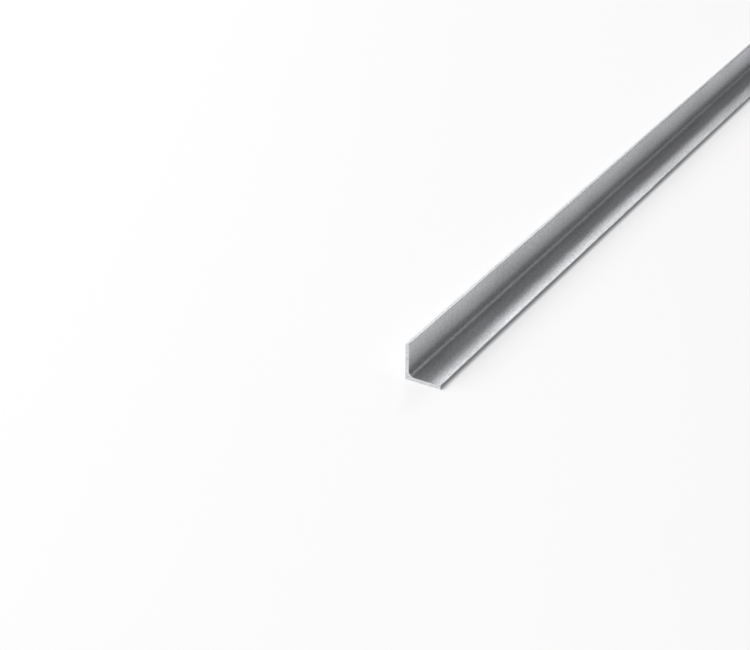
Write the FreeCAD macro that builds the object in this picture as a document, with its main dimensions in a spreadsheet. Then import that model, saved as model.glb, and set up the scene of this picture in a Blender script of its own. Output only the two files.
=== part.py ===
"""Hot-rolled equal-leg angle bar, stored lying on its foot leg.

The bar runs along X, with the origin under the middle of its foot leg.
The upright leg stands along the +Y side, and the foot leg's toe is on the -Y side.
"""
import FreeCAD, Part
import os

import Sketcher

DOCUMENT_NAME = "angle_bar_model"
PARTS_FOLDER = "parts"

# Driving dimensions in millimetres: alias, value, meaning.
DIMENSIONS = [
    ("foot_leg", 30.0, "width of the leg that lies on the floor, over the heel"),
    ("upright_leg", 30.0, "height of the standing leg, over the heel"),
    ("wall", 3.0, "thickness of both legs"),
    ("root_radius", 5.0, "concave fillet where the legs meet inside"),
    ("toe_radius", 0.6, "round on the inner edge of each toe"),
    ("toe_corner_radius", 0.5, "small round on the outer edge of each toe"),
    ("heel_radius", 0.8, "round on the outer corner where the legs meet"),
    ("bar_length", 1000.0, "sawn length"),
    ("end_break", 0.2, "burr filed off round both sawn ends"),
]


def make_sizes(doc):
    """Return the spreadsheet that holds the driving dimensions."""
    sheet = doc.addObject("Spreadsheet::Sheet", "Sizes")
    for row, (alias, value, meaning) in enumerate(DIMENSIONS, start=1):
        sheet.set(f"A{row}", alias)
        sheet.set(f"B{row}", str(value))
        sheet.set(f"C{row}", meaning)
        sheet.setAlias(f"B{row}", alias)
    doc.recompute()
    return sheet


def origin_plane(body, role):
    """Return the body's own origin plane that has this role."""
    return next(plane for plane in body.Origin.OriginFeatures if plane.Role == role)


def rounded_outline(sketch, corners, radii):
    """Draw a closed outline of straight sides with a tangent arc at every corner.

    corners are (x, y) points in order round the outline, counter-clockwise, and every side
    is level or upright. Side i runs from corner i to corner i + 1. Returns the geometry
    numbers of the sides and of the arcs.
    """
    count = len(corners)
    points = [FreeCAD.Vector(x, y, 0) for x, y in corners]
    headings = [(points[(i + 1) % count] - points[i]).normalize() for i in range(count)]

    sides = []
    for i in range(count):
        start = points[i] + headings[i] * radii[i]
        end = points[(i + 1) % count] - headings[i] * radii[(i + 1) % count]
        sides.append(sketch.addGeometry(Part.LineSegment(start, end), False))

    arcs = []
    for i in range(count):
        before, after = headings[i - 1], headings[i]
        start = points[i] - before * radii[i]
        end = points[i] + after * radii[i]
        centre = start + after * radii[i]
        middle = centre + (points[i] - centre).normalize() * radii[i]
        arcs.append(sketch.addGeometry(Part.Arc(start, middle, end), False))

    for i in range(count):
        turns_left = headings[i - 1].cross(headings[i]).z > 0
        arc_start, arc_end = (1, 2) if turns_left else (2, 1)
        sketch.addConstraint(Sketcher.Constraint("Tangent", sides[i - 1], 2, arcs[i], arc_start))
        sketch.addConstraint(Sketcher.Constraint("Tangent", arcs[i], arc_end, sides[i], 1))
        direction = "Horizontal" if abs(headings[i].y) < 0.5 else "Vertical"
        sketch.addConstraint(Sketcher.Constraint(direction, sides[i]))
    return sides, arcs


def bind(sketch, name, constraint, expression):
    """Add a dimension to the sketch under a name and tie it to the spreadsheet."""
    index = sketch.addConstraint(constraint)
    sketch.renameConstraint(index, name)
    sketch.setExpression(f"Constraints.{name}", expression)


def draw_section(body, sheet):
    """Draw the rolled section: two legs, root fillet, rounded toes and heel."""
    sketch = body.newObject("Sketcher::SketchObject", "RolledSection")
    sketch.AttachmentSupport = (origin_plane(body, "YZ_Plane"), "")
    sketch.MapMode = "FlatFace"

    heel = sheet.foot_leg / 2
    toe = -heel
    inner_face = heel - sheet.wall
    corners = [
        (toe, 0),
        (heel, 0),
        (heel, sheet.upright_leg),
        (inner_face, sheet.upright_leg),
        (inner_face, sheet.wall),
        (toe, sheet.wall),
    ]
    radius_names = [
        "toe_corner_radius",
        "heel_radius",
        "toe_corner_radius",
        "toe_radius",
        "root_radius",
        "toe_radius",
    ]
    radii = [getattr(sheet, name) for name in radius_names]
    sides, arcs = rounded_outline(sketch, corners, radii)
    underside, back_face, upright_top, upright_inside, foot_top, foot_toe = sides

    for place, (arc, name) in enumerate(zip(arcs, radius_names)):
        radius = Sketcher.Constraint("Radius", arc, getattr(sheet, name))
        bind(sketch, f"{name}_{place}", radius, f"Sizes.{name}")

    sketch.addConstraint(Sketcher.Constraint("PointOnObject", underside, 1, -1))
    across = Sketcher.Constraint("DistanceX", -1, 1, back_face, 1, heel)
    bind(sketch, "heel_offset", across, "Sizes.foot_leg / 2")
    across = Sketcher.Constraint("DistanceX", foot_toe, 1, back_face, 1, sheet.foot_leg)
    bind(sketch, "foot_width", across, "Sizes.foot_leg")
    across = Sketcher.Constraint("DistanceX", upright_inside, 1, back_face, 1, sheet.wall)
    bind(sketch, "upright_wall", across, "Sizes.wall")
    up = Sketcher.Constraint("DistanceY", underside, 1, upright_top, 1, sheet.upright_leg)
    bind(sketch, "upright_height", up, "Sizes.upright_leg")
    up = Sketcher.Constraint("DistanceY", underside, 1, foot_top, 1, sheet.wall)
    bind(sketch, "foot_wall", up, "Sizes.wall")
    return sketch


def end_faces(shape):
    """Return the names of the flat faces that close the bar along X."""
    reach = shape.BoundBox
    names = []
    for number, face in enumerate(shape.Faces, start=1):
        box = face.BoundBox
        on_end = min(abs(box.XMin - reach.XMin), abs(box.XMax - reach.XMax)) < 1e-6
        if box.XLength < 1e-6 and on_end:
            names.append(f"Face{number}")
    return names


def make_angle_bar(doc, sheet):
    """Build the bar: the rolled section run out to length, with both sawn ends deburred."""
    body = doc.addObject("PartDesign::Body", "AngleBar")
    body.Label = "angle_bar"
    section = draw_section(body, sheet)
    doc.recompute()

    rolled = body.newObject("PartDesign::Pad", "RolledLength")
    rolled.Profile = section
    rolled.SideType = "Symmetric"
    rolled.setExpression("Length", "Sizes.bar_length")
    doc.recompute()

    ends = body.newObject("PartDesign::Chamfer", "DeburredEnds")
    ends.Base = (rolled, end_faces(rolled.Shape))
    ends.setExpression("Size", "Sizes.end_break")
    body.Tip = ends
    body.Placement = FreeCAD.Placement()
    doc.recompute()
    return body


def check(doc, bodies):
    """Stop if any object failed to compute or any sub-part is not a sound solid."""
    for item in doc.Objects:
        if "Invalid" in item.State or "Error" in item.State:
            raise RuntimeError(f"{item.Name} did not compute: {item.State}")
    for body in bodies:
        if body.Shape.isNull() or not body.Shape.isValid():
            raise RuntimeError(f"{body.Label} has no valid shape")


def main():
    """Build the document and write each sub-part to its own file."""
    doc = FreeCAD.newDocument(DOCUMENT_NAME)
    sheet = make_sizes(doc)
    bodies = [make_angle_bar(doc, sheet)]
    check(doc, bodies)
    os.makedirs(PARTS_FOLDER, exist_ok=True)
    for body in bodies:
        body.Shape.exportStep(f"{PARTS_FOLDER}/{body.Label}.step")
        box = body.Shape.BoundBox
        size = f"{box.XLength:.2f} x {box.YLength:.2f} x {box.ZLength:.2f} mm"
        print(f"{body.Label}: {size}, {body.Shape.Volume / 1000:.2f} cm3")


main()
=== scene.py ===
"""Dress a hot-rolled stainless steel angle bar and set it in a plain white studio.

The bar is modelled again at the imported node's place, with a slightly uneven rolled surface, a
pickled mill finish and sawn ends, and takes that node's place in the picture.
"""

import logging
import math
from dataclasses import dataclass
from enum import Enum
from typing import Any, Callable, Mapping

import bmesh
import bpy
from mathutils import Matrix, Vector


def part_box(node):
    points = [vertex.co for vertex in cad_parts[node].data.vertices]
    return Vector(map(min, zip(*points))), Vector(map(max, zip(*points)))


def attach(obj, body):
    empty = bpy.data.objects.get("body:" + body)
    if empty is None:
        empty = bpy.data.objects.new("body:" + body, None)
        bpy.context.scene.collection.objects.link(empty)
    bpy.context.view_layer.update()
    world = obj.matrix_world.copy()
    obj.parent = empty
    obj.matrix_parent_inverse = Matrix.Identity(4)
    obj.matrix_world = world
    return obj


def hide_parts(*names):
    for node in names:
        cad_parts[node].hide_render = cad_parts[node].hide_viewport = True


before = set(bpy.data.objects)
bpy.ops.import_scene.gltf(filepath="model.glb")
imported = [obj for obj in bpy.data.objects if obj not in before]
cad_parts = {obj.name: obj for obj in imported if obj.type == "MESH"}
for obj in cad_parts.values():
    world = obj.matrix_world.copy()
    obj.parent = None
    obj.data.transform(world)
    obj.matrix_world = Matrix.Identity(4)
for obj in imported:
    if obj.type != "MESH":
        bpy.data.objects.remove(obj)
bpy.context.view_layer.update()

log = logging.getLogger("angle_bar")

NODE = "angle_bar"
BODY = "root"
MM = 0.001

Colour = tuple[float, float, float]
Span = tuple[float, float]


class Skin(Enum):
    """The surfaces of the bar that have a finish of their own, by material slot."""

    ROLLED = 0
    SAWN = 1


class Socket(Enum):
    """The kinds of socket that the shared effects have."""

    NUMBER = "NodeSocketFloat"
    VECTOR = "NodeSocketVector"


def deselect_everything() -> None:
    """Leave no object selected and no object active."""
    bpy.ops.object.select_all(action="DESELECT")
    bpy.context.view_layer.objects.active = None


def activate(piece: bpy.types.Object) -> None:
    """Make one object the only selected and active one.

    Args:
        piece: the object that the next operators work on.
    """
    deselect_everything()
    piece.select_set(True)
    bpy.context.view_layer.objects.active = piece


class Selector:
    """Selects parts of the mesh that is being edited, by place or normal."""

    def __init__(self, piece: bpy.types.Object) -> None:
        """Work on this piece, which is in edit mode.

        Args:
            piece: the mesh object in edit mode.
        """
        self.piece = piece

    def _pick(self, mode: str, part: str, test: Callable[[Any], bool]) -> None:
        """Select the parts of one kind that pass the test and nothing else.

        Args:
            mode: the select mode, VERT, EDGE or FACE.
            part: the mesh's collection of such parts.
            test: says of a part whether it is wanted.
        """
        bpy.ops.mesh.select_mode(type=mode)
        bpy.ops.mesh.select_all(action="DESELECT")
        mesh = bmesh.from_edit_mesh(self.piece.data)
        chosen = [item for item in getattr(mesh, part) if test(item)]
        if not chosen:
            raise RuntimeError(f"{self.piece.name}: {test.__name__} matches none of its {part}")
        for item in chosen:
            item.select = True
        mesh.select_flush_mode()
        bmesh.update_edit_mesh(self.piece.data)

    def vertices(self, test: Callable[[bmesh.types.BMVert], bool]) -> None:
        """Select the vertices that pass the test."""
        self._pick("VERT", "verts", test)

    def edges(self, test: Callable[[bmesh.types.BMEdge], bool]) -> None:
        """Select the edges that pass the test."""
        self._pick("EDGE", "edges", test)

    def faces(self, test: Callable[[bmesh.types.BMFace], bool]) -> None:
        """Select the faces that pass the test."""
        self._pick("FACE", "faces", test)


class Board:
    """A node tree that is being wired up."""

    def __init__(self, tree: bpy.types.NodeTree) -> None:
        """Work on this tree.

        Args:
            tree: a material's, world's or group's node tree.
        """
        self.tree = tree

    def add(self, kind: str, inputs: Mapping[str | int, Any] | None = None, **settings: Any) -> Any:
        """Add a node.

        Args:
            kind: the node's type name.
            inputs: a value, or a socket to link, for inputs given by name or number.
            **settings: the node's own properties.

        Returns:
            The new node.
        """
        node = self.tree.nodes.new(kind)
        for name, value in settings.items():
            setattr(node, name, value)
        for name, value in (inputs or {}).items():
            self.feed(node.inputs[name], value)
        return node

    def feed(self, socket: bpy.types.NodeSocket, value: Any) -> None:
        """Set an input socket, or link it where the value is a socket.

        Args:
            socket: the input socket.
            value: a plain value or an output socket.
        """
        if isinstance(value, bpy.types.NodeSocket):
            self.tree.links.new(value, socket)
        else:
            socket.default_value = value

    def reckon(self, operation: str, first: Any, second: Any = 0.0) -> bpy.types.NodeSocket:
        """Work out one number from two.

        Args:
            operation: the Math node's operation.
            first: a number or socket.
            second: a number or socket.

        Returns:
            The result's socket.
        """
        return self.add("ShaderNodeMath", {0: first, 1: second}, operation=operation).outputs[0]

    def spread(
        self, value: Any, source: tuple[Any, Any], target: tuple[Any, Any]
    ) -> bpy.types.NodeSocket:
        """Map a number from one range to another, with soft ends.

        Args:
            value: the number's socket.
            source: the range it comes in.
            target: the range it goes out in.

        Returns:
            The mapped number's socket.
        """
        inputs = {
            "Value": value,
            "From Min": source[0],
            "From Max": source[1],
            "To Min": target[0],
            "To Max": target[1],
        }
        return self.add("ShaderNodeMapRange", inputs, interpolation_type="SMOOTHSTEP").outputs[0]

    def noise(self, place: Any, size: Any, detail: float = 2.0) -> bpy.types.NodeSocket:
        """Add soft noise with blots of about a given size.

        Args:
            place: the coordinates' socket.
            size: the blots' size in metres, a number or socket.
            detail: how much finer noise is laid over it.

        Returns:
            The noise's socket, about 0.5 on average.
        """
        scale = self.reckon("DIVIDE", 1.0, size)
        inputs = {"Vector": place, "Scale": scale, "Detail": detail}
        return self.add("ShaderNodeTexNoise", inputs).outputs[0]

    def draw_out(self, place: Any, share: Any) -> bpy.types.NodeSocket:
        """Squeeze coordinates along X, so that a pattern on them is drawn out along X.

        Args:
            place: the coordinates' socket.
            share: how far X is squeezed, a number or socket below 1.

        Returns:
            The squeezed coordinates' socket.
        """
        squeeze = self.add("ShaderNodeCombineXYZ", {"X": share, "Y": 1.0, "Z": 1.0}).outputs[0]
        inputs = {0: place, 1: squeeze}
        return self.add("ShaderNodeVectorMath", inputs, operation="MULTIPLY").outputs[0]

    def blend(self, share: Any, first: Any, second: Any) -> bpy.types.NodeSocket:
        """Mix two colours.

        Args:
            share: the second colour's share, a socket.
            first: a colour or socket.
            second: a colour or socket.

        Returns:
            The mixed colour's socket.
        """
        node = self.add("ShaderNodeMix", data_type="RGBA")
        self.feed(node.inputs[0], share)
        for socket, value in zip(node.inputs[6:8], (first, second)):
            self.feed(socket, (*value, 1.0) if isinstance(value, tuple) else value)
        return node.outputs[2]


class Effect:
    """A shader node group that the finishes share, built the first time it is placed."""

    name: str
    inputs: dict[str, Socket]
    outputs: dict[str, Socket]

    def wire(self, board: Board, given: Any) -> dict[str, bpy.types.NodeSocket]:
        """Wire the group up inside.

        Args:
            board: the group's tree.
            given: the group's inputs, by name.

        Returns:
            The socket that each of the group's outputs shows, by name.
        """
        raise NotImplementedError

    def _group(self) -> bpy.types.NodeTree:
        """Make the node group if it is missing.

        Returns:
            The node group.
        """
        made = bpy.data.node_groups.get(self.name)
        if made is not None:
            return made
        made = bpy.data.node_groups.new(self.name, "ShaderNodeTree")
        for label, kind in self.inputs.items():
            made.interface.new_socket(name=label, in_out="INPUT", socket_type=kind.value)
        for label, kind in self.outputs.items():
            made.interface.new_socket(name=label, in_out="OUTPUT", socket_type=kind.value)
        board = Board(made)
        board.add("NodeGroupOutput", self.wire(board, board.add("NodeGroupInput").outputs))
        return made

    def place(self, board: Board, values: Mapping[str, Any]) -> Any:
        """Put the effect into a material.

        Args:
            board: the material's tree.
            values: a value or socket for each of the effect's inputs.

        Returns:
            The effect's outputs.
        """
        node = board.add("ShaderNodeGroup", node_tree=self._group())
        for label, value in values.items():
            board.feed(node.inputs[label], value)
        return node.outputs


class Clouding(Effect):
    """Soft patches with small flecks in them, drawn out by rolling and shown up by the acid."""

    name = "pickled_clouding"
    inputs = {
        "Coordinates": Socket.VECTOR,
        "Slimness": Socket.NUMBER,
        "Patch Size": Socket.NUMBER,
        "Fleck Size": Socket.NUMBER,
        "Fleck Share": Socket.NUMBER,
    }
    outputs = {"Tone": Socket.NUMBER}
    noise_span: Span = (0.28, 0.72)

    def wire(self, board: Board, given: Any) -> dict[str, bpy.types.NodeSocket]:
        """Lay flecks over patches.

        Args:
            board: the group's tree.
            given: the group's inputs, by name.

        Returns:
            The tone, from 0 where dark to 1 where light.
        """
        place = board.draw_out(given["Coordinates"], given["Slimness"])
        patches = board.noise(place, given["Patch Size"], 1.0)
        flecks = board.noise(place, given["Fleck Size"], 1.5)
        share = given["Fleck Share"]
        kept = board.reckon("MULTIPLY", patches, board.reckon("SUBTRACT", 1.0, share))
        both = board.reckon("ADD", kept, board.reckon("MULTIPLY", flecks, share))
        return {"Tone": board.spread(both, self.noise_span, (0.0, 1.0))}


class RollLines(Effect):
    """Long faint lines that the rolls press in along the bar."""

    name = "roll_lines"
    inputs = {
        "Coordinates": Socket.VECTOR,
        "Line Width": Socket.NUMBER,
        "Line Length": Socket.NUMBER,
    }
    outputs = {"Height": Socket.NUMBER}

    def wire(self, board: Board, given: Any) -> dict[str, bpy.types.NodeSocket]:
        """Stretch noise along the bar until it is lines.

        Args:
            board: the group's tree.
            given: the group's inputs, by name.

        Returns:
            The height, about 0.5 on average.
        """
        slimness = board.reckon("DIVIDE", given["Line Width"], given["Line Length"])
        place = board.draw_out(given["Coordinates"], slimness)
        return {"Height": board.noise(place, given["Line Width"], 2.0)}


class Scratches(Effect):
    """Thin straight scratches from handling, all at about one slant."""

    name = "handling_scratches"
    inputs = {
        "Coordinates": Socket.VECTOR,
        "Slant": Socket.VECTOR,
        "Width": Socket.NUMBER,
        "Length": Socket.NUMBER,
        "Rarity": Socket.NUMBER,
    }
    outputs = {"Mask": Socket.NUMBER}
    flank: float = 0.05

    def wire(self, board: Board, given: Any) -> dict[str, bpy.types.NodeSocket]:
        """Turn and stretch noise, and keep only its peaks.

        Args:
            board: the group's tree.
            given: the group's inputs, by name.

        Returns:
            The scratches' mask, 1 inside a scratch.
        """
        inputs = {"Vector": given["Coordinates"], "Rotation": given["Slant"]}
        turned = board.add("ShaderNodeVectorRotate", inputs, rotation_type="EULER_XYZ").outputs[0]
        slimness = board.reckon("DIVIDE", given["Width"], given["Length"])
        peaks = board.noise(board.draw_out(turned, slimness), given["Width"], 0.0)
        full = board.reckon("ADD", given["Rarity"], self.flank)
        return {"Mask": board.spread(peaks, (given["Rarity"], full), (0.0, 1.0))}


class ToeBand(Effect):
    """The foot's narrow toe face, where the steel is duller and its darker colour is painted shade.
    """

    name = "toe_band"
    inputs = {
        "Coordinates": Socket.VECTOR,
        "Toe": Socket.NUMBER,
        "Width": Socket.NUMBER,
    }
    outputs = {"Mask": Socket.NUMBER}

    def wire(self, board: Board, given: Any) -> dict[str, bpy.types.NodeSocket]:
        """Mask what lies within a width of the foot's toe.

        Args:
            board: the group's tree.
            given: the group's inputs, by name.

        Returns:
            The band's mask, 1 on the toe face.
        """
        across = board.add("ShaderNodeSeparateXYZ", {0: given["Coordinates"]}).outputs["Y"]
        past_toe = board.reckon("SUBTRACT", across, given["Toe"])
        return {"Mask": board.spread(past_toe, (0.0, given["Width"]), (1.0, 0.0))}


class LegStain(Effect):
    """Painted shade in the root and a painted highlight along the fillet; outer faces darker."""

    name = "leg_stain"
    inputs = {
        "Coordinates": Socket.VECTOR,
        "Inner Face": Socket.NUMBER,
        "Foot Top": Socket.NUMBER,
        "Reach Up": Socket.NUMBER,
        "Reach Out": Socket.NUMBER,
        # Line Width and the share below set the painted highlight along the fillet's middle.
        "Line Width": Socket.NUMBER,
        "Line Share": Socket.NUMBER,
        "Outer Share": Socket.NUMBER,
    }
    outputs = {"Stain": Socket.NUMBER, "Upright": Socket.NUMBER}

    # Shares of a leg's reach: the painted shade is full up to the first and gone at the second.
    fade: Span = (0.15, 1.0)
    # Distances past the fillet's middle over which the foot turns into the upright.
    turn: Span = (-2.0 * MM, 2.0 * MM)
    # Heights over the inner faces, negative in the steel: where the inner faces' painted shade
    # begins, where the outer faces' darker tone ends, and where the narrow top goes over into the
    # upright.
    inner_depth: Span = (-1.0 * MM, -0.5 * MM)
    outer_depth: Span = (-2.9 * MM, -2.5 * MM)
    top_depth: Span = (-0.6 * MM, 0.0)
    # The narrow top counts as upright by this share only.
    top_share: float = 0.45

    def wire(self, board: Board, given: Any) -> dict[str, bpy.types.NodeSocket]:
        """Mask the painted shade on the inner faces, from full in the root to nothing at each leg's
        reach.

        The fillet's middle is lighter in it: a painted highlight.
        The outer faces have an even share of a darker tone.

        Args:
            board: the group's tree.
            given: the group's inputs, by name.

        Returns:
            The mask of the painted shade in the root and the outer faces' darker tone, and the mask
            of the upright.
        """
        axes = board.add("ShaderNodeSeparateXYZ", {0: given["Coordinates"]}).outputs
        out = board.reckon("SUBTRACT", given["Inner Face"], axes["Y"])
        up = board.reckon("SUBTRACT", axes["Z"], given["Foot Top"])
        out_share = board.reckon("DIVIDE", out, given["Reach Out"])
        up_share = board.reckon("DIVIDE", up, given["Reach Up"])
        # Painted shade: full in the root, fading out over each leg's reach.
        far = board.reckon("MAXIMUM", out_share, up_share)
        near = board.spread(far, self.fade, (1.0, 0.0))
        above = board.spread(board.reckon("SUBTRACT", up, out), self.turn, (0.0, 1.0))
        face = board.spread(out, self.top_depth, (self.top_share, 1.0))
        lowest = board.reckon("MINIMUM", out, up)
        inside = board.spread(lowest, self.inner_depth, (0.0, 1.0))
        # A lighter band along the fillet's middle: a painted highlight.
        off_line = board.reckon("ABSOLUTE", board.reckon("SUBTRACT", out, up))
        kept = board.reckon("SUBTRACT", 1.0, given["Line Share"])
        line = board.spread(off_line, (0.0, given["Line Width"]), (kept, 1.0))
        root = board.reckon("MULTIPLY", board.reckon("MULTIPLY", near, line), inside)
        outer = board.spread(lowest, self.outer_depth, (given["Outer Share"], 0.0))
        return {
            "Stain": board.reckon("MAXIMUM", root, outer),
            "Upright": board.reckon("MULTIPLY", above, face),
        }


@dataclass(frozen=True)
class MillFinish:
    """Stainless steel as hot rolled, annealed and pickled, with painted shade in the root and at
    the toe, and a painted highlight in the fillet.

    Places and sizes are in metres. Tints are in shares of the step from dark to light, and
    heights and depths in shares of the relief.
    """

    # Where the foot's toe, the upright's inner face and the foot's upper face lie.
    toe: float
    inner: float
    foot_top: float
    # The clean steel's clouding, and the same where the root has painted shade and the outer faces
    # are darker.
    dark: Colour = (0.705, 0.710, 0.730)
    light: Colour = (0.950, 0.955, 0.980)
    stain_dark: Colour = (0.41, 0.414, 0.426)
    stain_light: Colour = (0.57, 0.574, 0.59)
    # How much of the darker tone the outer faces have, and how far the root's painted shade reaches
    # up each leg.
    outer_stain: float = 0.45
    root_reach_up: float = 11.0 * MM
    root_reach_out: float = 17.0 * MM
    # Width and share of the painted highlight along the fillet's middle.
    root_line: float = 2.2 * MM
    root_line_share: float = 0.62
    # Roughness of dark and light patches, what the upright adds to it, and the dull toe face with
    # its painted shade.
    roughness: Span = (0.43, 0.41)
    upright_duller: float = 0.08
    toe_roughness: float = 0.45
    # The toe face's darker colour is painted shade.
    toe_colour: Colour = (0.37, 0.373, 0.385)
    toe_width: float = 0.35 * MM
    # Clouding, roll lines, grain and scratches.
    patch_size: float = 22 * MM
    fleck_size: float = 1.5 * MM
    fleck_slimness: float = 0.4
    fleck_share: float = 0.72
    line_width: float = 0.6 * MM
    line_length: float = 90 * MM
    line_tint: float = 0.8
    line_height: float = 0.35
    grain_size: float = 0.35 * MM
    grain_height: float = 0.35
    relief: float = 0.019 * MM
    scratch_width: float = 0.25 * MM
    scratch_length: float = 18 * MM
    scratch_slant: tuple[float, float, float] = (0.0, math.radians(11.0), math.radians(-14.0))
    scratch_rarity: float = 0.70
    scratch_gloss: float = 0.08
    scratch_depth: float = 0.6

    def material(self) -> bpy.types.Material:
        """Wire up the material of the rolled surfaces.

        Returns:
            The material.
        """
        made = bpy.data.materials.new("mill_finish")
        made.use_nodes = True
        board = Board(made.node_tree)
        shader = made.node_tree.nodes["Principled BSDF"]
        shader.distribution = "GGX"
        place = board.add("ShaderNodeTexCoord").outputs["Object"]
        cloud = Clouding().place(board, {
            "Coordinates": place,
            "Slimness": self.fleck_slimness,
            "Patch Size": self.patch_size,
            "Fleck Size": self.fleck_size,
            "Fleck Share": self.fleck_share,
        })["Tone"]
        lines = RollLines().place(board, {
            "Coordinates": place,
            "Line Width": self.line_width,
            "Line Length": self.line_length,
        })["Height"]
        scratch = Scratches().place(board, {
            "Coordinates": place,
            "Slant": self.scratch_slant,
            "Width": self.scratch_width,
            "Length": self.scratch_length,
            "Rarity": self.scratch_rarity,
        })["Mask"]
        toes = ToeBand().place(board, {
            "Coordinates": place,
            "Toe": self.toe,
            "Width": self.toe_width,
        })["Mask"]
        # Painted shade in the root, a painted highlight along the fillet, and darker outer faces.
        stain = LegStain().place(board, {
            "Coordinates": place,
            "Inner Face": self.inner,
            "Foot Top": self.foot_top,
            "Reach Up": self.root_reach_up,
            "Reach Out": self.root_reach_out,
            "Line Width": self.root_line,
            "Line Share": self.root_line_share,
            "Outer Share": self.outer_stain,
        })
        self._colour(board, shader, cloud, lines, toes, stain["Stain"])
        self._gloss(board, shader, cloud, scratch, toes, stain["Upright"])
        self._relief(board, shader, place, lines, scratch)
        shader.inputs["Metallic"].default_value = 1.0
        return made

    def _colour(
        self, board: Board, shader: Any, cloud: Any, lines: Any, toes: Any, stain: Any
    ) -> None:
        """Colour the steel by its clouding and roll lines, with painted shade in the root and at
        the toe, and darker outer faces.

        Args:
            board: the material's tree.
            shader: the material's shader.
            cloud: the clouding's tone.
            lines: the roll lines' height.
            toes: the toe band's mask.
            stain: the mask of the painted shade in the root and of the outer faces' darker tone.
        """
        lined = board.reckon("MULTIPLY", board.reckon("SUBTRACT", lines, 0.5), self.line_tint)
        tone = board.reckon("ADD", cloud, lined)
        clean = board.blend(tone, self.dark, self.light)
        # The colour of the painted shade in the root and of the darker outer faces.
        stained = board.blend(tone, self.stain_dark, self.stain_light)
        flat = board.blend(stain, clean, stained)
        # The toe band takes its painted shade.
        board.feed(shader.inputs["Base Color"], board.blend(toes, flat, self.toe_colour))

    def _gloss(
        self, board: Board, shader: Any, cloud: Any, scratch: Any, toes: Any, upright: Any
    ) -> None:
        """Make light patches and the foot glossier, scratches brighter and the toe duller.

        Args:
            board: the material's tree.
            shader: the material's shader.
            cloud: the clouding's tone.
            scratch: the scratches' mask.
            toes: the toe band's mask.
            upright: the upright's mask.
        """
        foot = board.spread(cloud, (0.0, 1.0), self.roughness)
        flat = board.reckon("ADD", foot, board.reckon("MULTIPLY", upright, self.upright_duller))
        polished = board.reckon("MULTIPLY", scratch, self.scratch_gloss)
        marked = board.reckon("SUBTRACT", flat, polished)
        duller = board.reckon("SUBTRACT", self.toe_roughness, marked)
        total = board.reckon("ADD", marked, board.reckon("MULTIPLY", duller, toes))
        board.feed(shader.inputs["Roughness"], total)

    def _relief(self, board: Board, shader: Any, place: Any, lines: Any, scratch: Any) -> None:
        """Raise the grain, flecks and roll lines and cut the scratches.

        Args:
            board: the material's tree.
            shader: the material's shader.
            place: the coordinates' socket.
            lines: the roll lines' height.
            scratch: the scratches' mask.
        """
        grain = board.noise(place, self.grain_size, 2.0)
        flecks = board.noise(board.draw_out(place, self.fleck_slimness), self.fleck_size, 1.0)
        fine = board.reckon("MULTIPLY", grain, self.grain_height)
        pressed = board.reckon("MULTIPLY", lines, self.line_height)
        raised = board.reckon("ADD", board.reckon("ADD", fine, flecks), pressed)
        cut = board.reckon("MULTIPLY", scratch, self.scratch_depth)
        inputs = {"Height": board.reckon("SUBTRACT", raised, cut), "Distance": self.relief}
        board.feed(shader.inputs["Normal"], board.add("ShaderNodeBump", inputs).outputs[0])


@dataclass(frozen=True)
class SawnFinish:
    """Bright steel where the bar was sawn off."""

    dark: Colour = (0.60, 0.605, 0.62)
    light: Colour = (0.90, 0.905, 0.92)
    roughness: Span = (0.38, 0.30)
    # The faint clouding.
    patch_size: float = 4 * MM
    fleck_size: float = 0.5 * MM
    fleck_share: float = 0.4
    cloud_tint: float = 0.7
    # The marks of the blade's teeth.
    tooth_pitch: float = 0.45 * MM
    tooth_run: float = 30 * MM
    tooth_tint: float = 1.8
    relief: float = 0.03 * MM
    blade_slant: tuple[float, float, float] = (math.radians(35.0), 0.0, 0.0)

    def material(self) -> bpy.types.Material:
        """Wire up the material of the sawn ends.

        Returns:
            The material.
        """
        made = bpy.data.materials.new("sawn_end")
        made.use_nodes = True
        board = Board(made.node_tree)
        shader = made.node_tree.nodes["Principled BSDF"]
        shader.distribution = "GGX"
        place = board.add("ShaderNodeTexCoord").outputs["Object"]
        inputs = {"Vector": place, "Rotation": self.blade_slant}
        turned = board.add("ShaderNodeVectorRotate", inputs, rotation_type="EULER_XYZ").outputs[0]
        squeeze = (1.0, self.tooth_pitch / self.tooth_run, 1.0)
        inputs = {0: turned, 1: squeeze}
        along_blade = board.add("ShaderNodeVectorMath", inputs, operation="MULTIPLY").outputs[0]
        teeth = board.noise(along_blade, self.tooth_pitch, 1.0)
        cloud = Clouding().place(board, {
            "Coordinates": place,
            "Slimness": 1.0,
            "Patch Size": self.patch_size,
            "Fleck Size": self.fleck_size,
            "Fleck Share": self.fleck_share,
        })["Tone"]
        marks = board.reckon("MULTIPLY", board.reckon("SUBTRACT", teeth, 0.5), self.tooth_tint)
        tone = board.reckon("ADD", board.reckon("MULTIPLY", cloud, self.cloud_tint), marks)
        board.feed(shader.inputs["Base Color"], board.blend(tone, self.dark, self.light))
        board.feed(shader.inputs["Roughness"], board.spread(cloud, (0.0, 1.0), self.roughness))
        inputs = {"Height": teeth, "Distance": self.relief}
        board.feed(shader.inputs["Normal"], board.add("ShaderNodeBump", inputs).outputs[0])
        shader.inputs["Metallic"].default_value = 1.0
        return made


@dataclass(frozen=True)
class Corner:
    """One corner of the rolled section and the round that the rolls give it."""

    across: float
    up: float
    radius: float
    segments: int


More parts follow.
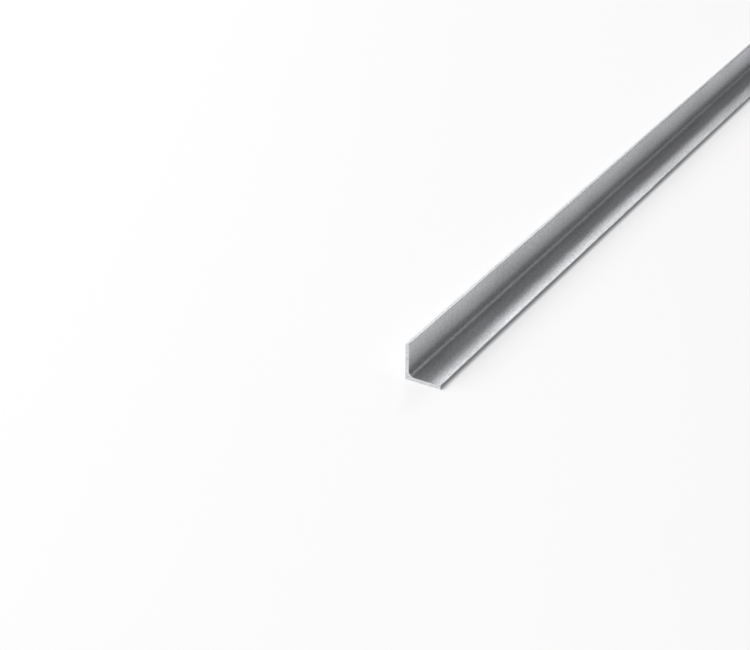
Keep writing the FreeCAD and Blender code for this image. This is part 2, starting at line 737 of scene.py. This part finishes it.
@dataclass
class AngleBar:
    """The rolled bar: its section, its length and its sawn ends, in metres."""

    low: Vector
    high: Vector
    wall: float = 3.0 * MM
    root_radius: float = 5.0 * MM
    toe_radius: float = 0.6 * MM
    toe_corner_radius: float = 0.5 * MM
    heel_radius: float = 0.8 * MM
    end_break: float = 0.2 * MM
    # How much the inner flats waver, and over what length.
    unevenness: float = 0.025 * MM
    wave: float = 28 * MM
    # How finely the bar is divided along its length and across its wide flats.
    stations: int = 200
    flat_cuts: int = 7
    smooth_below: float = math.radians(40.0)

    @property
    def inner(self) -> float:
        """The upright's inner face, across the bar."""
        return self.high.y - self.wall

    @property
    def foot_top(self) -> float:
        """The foot's upper face."""
        return self.low.z + self.wall

    def corners(self) -> list[Corner]:
        """List the section's six corners with their rounds.

        Returns:
            The corners.
        """
        toe, heel, base, top = self.low.y, self.high.y, self.low.z, self.high.z
        return [
            Corner(toe, base, self.toe_corner_radius, 4),
            Corner(heel, base, self.heel_radius, 6),
            Corner(heel, top, self.toe_corner_radius, 4),
            Corner(self.inner, top, self.toe_radius, 6),
            Corner(self.inner, self.foot_top, self.root_radius, 16),
            Corner(toe, self.foot_top, self.toe_radius, 6),
        ]

    def build(self) -> bpy.types.Object:
        """Model the bar and dress it.

        Returns:
            The finished mesh object, at the origin.
        """
        piece = self._start_section()
        bpy.ops.object.mode_set(mode="EDIT")
        select = Selector(piece)
        self._raise_upright(select)
        self._round_corners(select)
        self._cut_flats(select)
        self._roll_out(select)
        self._break_ends(select)
        flats = self._mark_inner_flats(piece, select)
        bpy.ops.object.mode_set(mode="OBJECT")
        self._uneven(piece, flats)
        self._finish_shading(piece)
        self._dress(piece)
        return piece

    def _start_section(self) -> bpy.types.Object:
        """Add the foot leg's rectangle, standing at the bar's near end.

        Returns:
            The new mesh object, active and in object mode.
        """
        middle = Vector((self.low.x, (self.low.y + self.high.y) / 2, self.low.z + self.wall / 2))
        deselect_everything()
        bpy.ops.mesh.primitive_plane_add(size=1.0, location=(0.0, 0.0, 0.0))
        piece = bpy.context.object
        piece.name = "rolled_bar"
        piece.data.name = "rolled_bar"
        piece.rotation_euler = (math.pi / 2, 0.0, math.pi / 2)
        piece.scale = (self.high.y - self.low.y, self.wall, 1.0)
        piece.location = middle
        bpy.ops.object.transform_apply(location=True, rotation=True, scale=True)
        return piece

    def _raise_upright(self, select: Selector) -> None:
        """Cut the heel's width off the foot and draw the standing leg up from it.

        Args:
            select: the bar's selector.
        """
        bpy.ops.mesh.select_all(action="SELECT")
        bpy.ops.mesh.bisect(plane_co=(self.low.x, self.inner, 0.0), plane_no=(0.0, 1.0, 0.0))

        def over_heel(edge: bmesh.types.BMEdge) -> bool:
            """Tell whether an edge is the foot's upper side over the heel.

            Args:
                edge: the edge.

            Returns:
                Whether it is.
            """
            centre = (edge.verts[0].co + edge.verts[1].co) / 2
            return centre.y > self.inner and abs(centre.z - self.foot_top) < self.wall / 10

        select.edges(over_heel)
        rise = self.high.z - self.foot_top
        bpy.ops.mesh.extrude_region_move(TRANSFORM_OT_translate={"value": (0.0, 0.0, rise)})
        bpy.ops.mesh.select_all(action="SELECT")
        bpy.ops.mesh.dissolve_limited(angle_limit=math.radians(1.0))

    def _round_corners(self, select: Selector) -> None:
        """Round each corner of the section with its own radius.

        Args:
            select: the bar's selector.
        """
        slack = self.wall / 100
        for corner in self.corners():
            point = Vector((self.low.x, corner.across, corner.up))
            select.vertices(lambda vertex: (vertex.co - point).length < slack)
            bpy.ops.mesh.bevel(
                offset_type="OFFSET",
                offset=corner.radius,
                segments=corner.segments,
                affect="VERTICES",
                clamp_overlap=False,
            )

    def _cut_flats(self, select: Selector) -> None:
        """Divide the section's wide flats, so that the rolled surface can be uneven across them.

        Args:
            select: the bar's selector.
        """
        long_side = (self.high.z - self.low.z) / 2
        select.edges(lambda edge: edge.calc_length() > long_side)
        bpy.ops.mesh.subdivide(number_cuts=self.flat_cuts)

    def _roll_out(self, select: Selector) -> None:
        """Run the section out to the bar's length, station by station.

        Args:
            select: the bar's selector.
        """
        step = (self.high.x - self.low.x) / self.stations
        bpy.ops.mesh.select_mode(type="FACE")
        bpy.ops.mesh.select_all(action="SELECT")
        for _ in range(self.stations):
            bpy.ops.mesh.extrude_region_move(TRANSFORM_OT_translate={"value": (step, 0.0, 0.0)})
        bpy.ops.mesh.select_all(action="SELECT")
        bpy.ops.mesh.remove_doubles(threshold=self.wall / 3000)
        bpy.ops.mesh.normals_make_consistent(inside=False)

    def _break_ends(self, select: Selector) -> None:
        """File the burr off round both sawn ends.

        Args:
            select: the bar's selector.
        """
        near, far = self.low.x, self.high.x

        def on_end(edge: bmesh.types.BMEdge) -> bool:
            """Tell whether an edge runs round a sawn end.

            Args:
                edge: the edge.

            Returns:
                Whether it does.
            """
            first, second = (vertex.co.x for vertex in edge.verts)
            square = abs(first - second) < self.end_break / 10
            return square and min(abs(first - near), abs(first - far)) < self.end_break

        select.edges(on_end)
        bpy.ops.mesh.bevel(
            offset_type="OFFSET",
            offset=self.end_break,
            segments=2,
            affect="EDGES",
            clamp_overlap=False,
        )

    def _mark_inner_flats(self, piece: bpy.types.Object, select: Selector) -> bpy.types.VertexGroup:
        """Put the two inner flats, short of their edges and ends, into a vertex group.

        Args:
            piece: the bar, in edit mode.
            select: its selector.

        Returns:
            The vertex group.
        """
        slack = self.wall / 100
        root = self.root_radius

        def inside_flat(vertex: bmesh.types.BMVert) -> bool:
            """Tell whether a vertex lies well inside one of the inner flats.

            Args:
                vertex: the vertex.

            Returns:
                Whether it does.
            """
            place = vertex.co
            if min(place.x - self.low.x, self.high.x - place.x) < self.wall:
                return False
            on_foot = abs(place.z - self.foot_top) < slack
            on_upright = abs(place.y - self.inner) < slack
            foot_span = self.low.y + self.wall / 2 < place.y < self.inner - root - slack
            upright_span = self.foot_top + root + slack < place.z < self.high.z - self.wall / 2
            return on_foot and foot_span or on_upright and upright_span

        flats = piece.vertex_groups.new(name="inner_flats")
        select.vertices(inside_flat)
        bpy.ops.object.vertex_group_assign()
        return flats

    def _uneven(self, piece: bpy.types.Object, flats: bpy.types.VertexGroup) -> None:
        """Let the rolled flats waver a little, as hot-rolled faces do.

        Args:
            piece: the bar.
            flats: the vertices that may move.
        """
        activate(piece)
        swell = bpy.data.textures.new("rolled_swell", "CLOUDS")
        swell.noise_scale = self.wave
        waver = piece.modifiers.new("rolled_swell", "DISPLACE")
        waver.texture = swell
        waver.texture_coords = "LOCAL"
        waver.strength = self.unevenness
        waver.mid_level = 0.5
        waver.vertex_group = flats.name
        bpy.ops.object.modifier_apply(modifier=waver.name)
        piece.vertex_groups.clear()

    def _finish_shading(self, piece: bpy.types.Object) -> None:
        """Smooth the rounds and keep the flats flat.

        Args:
            piece: the bar.
        """
        activate(piece)
        bpy.ops.object.shade_smooth_by_angle(angle=self.smooth_below, keep_sharp_edges=True)
        weighted = piece.modifiers.new("flat_faces_first", "WEIGHTED_NORMAL")
        weighted.mode = "FACE_AREA"
        weighted.keep_sharp = True
        bpy.ops.object.modifier_apply(modifier=weighted.name)

    def _dress(self, piece: bpy.types.Object) -> None:
        """Give the rolled faces and the sawn ends their finishes.

        Args:
            piece: the bar.
        """
        finish = MillFinish(self.low.y, self.inner, self.foot_top)
        piece.data.materials.append(finish.material())
        piece.data.materials.append(SawnFinish().material())
        for face in piece.data.polygons:
            faces_along = abs(face.normal.x) > 0.9
            face.material_index = (Skin.SAWN if faces_along else Skin.ROLLED).value


@dataclass(frozen=True)
class Softbox:
    """A lamp with a wide white front, placed by its direction and its spread in degrees."""

    name: str
    azimuth: float
    elevation: float
    wide: float
    high: float
    radiance: float
    distance: float = 8.0

    def hang(self, aim: Vector) -> None:
        """Add the lamp, turned to the bar.

        Args:
            aim: the point on the bar that it lights.
        """
        heading, rise = math.radians(self.azimuth), math.radians(self.elevation)
        level = Vector((math.cos(heading), math.sin(heading), 0.0)) * math.cos(rise)
        away = (level + Vector((0.0, 0.0, math.sin(rise)))) * self.distance
        width = 2 * self.distance * math.tan(math.radians(self.wide / 2))
        height = 2 * self.distance * math.tan(math.radians(self.high / 2))
        data = bpy.data.lights.new(self.name, "AREA")
        data.shape = "RECTANGLE"
        data.size = width
        data.size_y = height
        data.energy = self.radiance * math.pi * width * height
        lamp = bpy.data.objects.new(self.name, data)
        bpy.context.scene.collection.objects.link(lamp)
        lamp.location = aim + away
        lamp.rotation_euler = (-away).to_track_quat("-Z", "Y").to_euler()
        lamp.visible_camera = False


@dataclass(frozen=True)
class Flag:
    """A dim curved cloth round part of the bar, which only reflections see."""

    name: str
    azimuth: float
    span: float
    elevations: Span
    level: float
    radius: float = 12.0

    def hang(self, aim: Vector) -> None:
        """Add the cloth as part of a sphere round the bar.

        Args:
            aim: the point on the bar that the cloth surrounds.
        """
        deselect_everything()
        bpy.ops.mesh.primitive_uv_sphere_add(segments=72, ring_count=36, radius=self.radius)
        cloth = bpy.context.object
        cloth.name = self.name

        def spare(face: bmesh.types.BMFace) -> bool:
            """Tell whether a face of the sphere lies outside the cloth.

            Args:
                face: the face.

            Returns:
                Whether it does.
            """
            centre = face.calc_center_median()
            azimuth = math.degrees(math.atan2(centre.y, centre.x))
            elevation = math.degrees(math.atan2(centre.z, math.hypot(centre.x, centre.y)))
            inside = (azimuth - self.azimuth) % 360.0 < self.span
            return not (inside and self.elevations[0] < elevation < self.elevations[1])

        bpy.ops.object.mode_set(mode="EDIT")
        Selector(cloth).faces(spare)
        bpy.ops.mesh.delete(type="FACE")
        bpy.ops.object.mode_set(mode="OBJECT")
        cloth.location = aim
        made = bpy.data.materials.new(self.name)
        made.use_nodes = True
        board = Board(made.node_tree)
        board.tree.nodes.clear()
        glow = board.add("ShaderNodeEmission", {"Strength": self.level})
        board.add("ShaderNodeOutputMaterial", {"Surface": glow.outputs[0]})
        cloth.data.materials.append(made)
        cloth.visible_camera = False
        cloth.visible_diffuse = False
        cloth.visible_shadow = False


@dataclass(frozen=True)
class Studio:
    """White floor, soft light and the camera."""

    # The floor: its size, its paint, the glow that lifts what is seen of it, the distances over
    # which it goes over to white, and how far under the bar it lies.
    floor_size: float = 60.0
    floor_colour: float = 0.90
    floor_lift: float = 0.13
    floor_fade: Span = (0.8, 2.6)
    floor_drop: float = 0.1 * MM
    # The room's even light, and the point on the bar that lamps and flags are hung round.
    fill: float = 0.42
    aim: tuple[float, float, float] = (-0.3, 0.0, 0.0)
    # The camera: focal length in millimetres, place, and the direction of its gaze in degrees.
    lens: float = 85.0
    camera_place: tuple[float, float, float] = (-1.4773, -0.5393, 0.6873)
    camera_heading: float = 30.70
    camera_pitch: float = 29.72
    softboxes: tuple[Softbox, ...] = (
        Softbox("far_softbox", 28.5, 30.5, wide=17.0, high=9.0, radiance=6.2),
        Softbox("top_softbox", 120.0, 45.0, wide=40.0, high=40.0, radiance=4.5),
    )
    flags: tuple[Flag, ...] = (
        Flag("far_flag", -10.0, 85.0, elevations=(0.0, 70.0), level=0.0),
        Flag("right_low_flag", -110.0, 100.0, elevations=(0.0, 20.0), level=0.02),
        Flag("right_flag", -110.0, 100.0, elevations=(20.0, 70.0), level=0.42),
        Flag("left_flag", 75.0, 175.0, elevations=(0.0, 70.0), level=0.5),
    )

    def build(self) -> None:
        """Make the floor, the world, the lamps, the flags and the camera."""
        self._floor()
        self._world()
        for light_or_flag in (*self.softboxes, *self.flags):
            light_or_flag.hang(Vector(self.aim))
        self._camera()

    def _floor(self) -> None:
        """Lay the pale floor, lifted a little where it is seen and white far away."""
        deselect_everything()
        below = (0.0, 0.0, -self.floor_drop)
        bpy.ops.mesh.primitive_plane_add(size=self.floor_size, location=below)
        floor = bpy.context.object
        floor.name = "floor"
        made = bpy.data.materials.new("floor_white")
        made.use_nodes = True
        board = Board(made.node_tree)
        board.tree.nodes.clear()
        pale = (self.floor_colour,) * 3 + (1.0,)
        diffuse = board.add("ShaderNodeBsdfDiffuse", {"Color": pale})
        unseen = board.add("ShaderNodeLightPath").outputs["Is Diffuse Ray"]
        lift = board.spread(unseen, (0.0, 1.0), (self.floor_lift, 0.0))
        glow = board.add("ShaderNodeEmission", {"Strength": lift})
        near = board.add("ShaderNodeAddShader", {0: diffuse.outputs[0], 1: glow.outputs[0]})
        place = board.add("ShaderNodeTexCoord").outputs["Object"]
        reach = board.add("ShaderNodeVectorMath", {0: place}, operation="LENGTH").outputs["Value"]
        fade = board.spread(reach, self.floor_fade, (0.0, 1.0))
        share = board.reckon("MULTIPLY", fade, board.reckon("SUBTRACT", 1.0, unseen))
        white = board.add("ShaderNodeEmission", {"Strength": 1.0}).outputs[0]
        whole = board.add("ShaderNodeMixShader", {0: share, 1: near.outputs[0], 2: white})
        board.add("ShaderNodeOutputMaterial", {"Surface": whole.outputs[0]})
        floor.data.materials.append(made)

    def _world(self) -> None:
        """Fill the room with even light, and show it white to the camera and in reflections."""
        world = bpy.data.worlds.new("studio")
        bpy.context.scene.world = world
        world.use_nodes = True
        board = Board(world.node_tree)
        path = board.add("ShaderNodeLightPath").outputs
        seen = board.reckon("MAXIMUM", path["Is Camera Ray"], path["Is Glossy Ray"])
        seen = board.reckon("MAXIMUM", seen, path["Is Transmission Ray"])
        back = board.tree.nodes["Background"]
        back.inputs["Color"].default_value = (1.0, 1.0, 1.0, 1.0)
        board.feed(back.inputs["Strength"], board.spread(seen, (0.0, 1.0), (self.fill, 1.0)))

    def _camera(self) -> None:
        """Set the camera where the photograph was taken from."""
        data = bpy.data.cameras.new("camera")
        data.lens = self.lens
        data.clip_end = 100.0
        camera = bpy.data.objects.new("camera", data)
        bpy.context.scene.collection.objects.link(camera)
        camera.location = self.camera_place
        heading = math.radians(self.camera_heading)
        pitch = math.radians(self.camera_pitch)
        level = Vector((math.cos(heading), math.sin(heading), 0.0))
        gaze = level * math.cos(pitch) - Vector((0.0, 0.0, math.sin(pitch)))
        camera.rotation_euler = gaze.to_track_quat("-Z", "Y").to_euler()
        bpy.context.scene.camera = camera


def main() -> None:
    """Build the bar and the studio, and report each piece."""
    logging.basicConfig(level=logging.INFO, format="%(message)s")
    bpy.context.scene.view_settings.view_transform = "Standard"
    low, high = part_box(NODE)
    piece = AngleBar(Vector(low), Vector(high)).build()
    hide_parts(NODE)
    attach(piece, BODY)
    log.info("%s: %d faces", piece.name, len(piece.data.polygons))
    Studio().build()


if __name__ == "__main__":
    main()
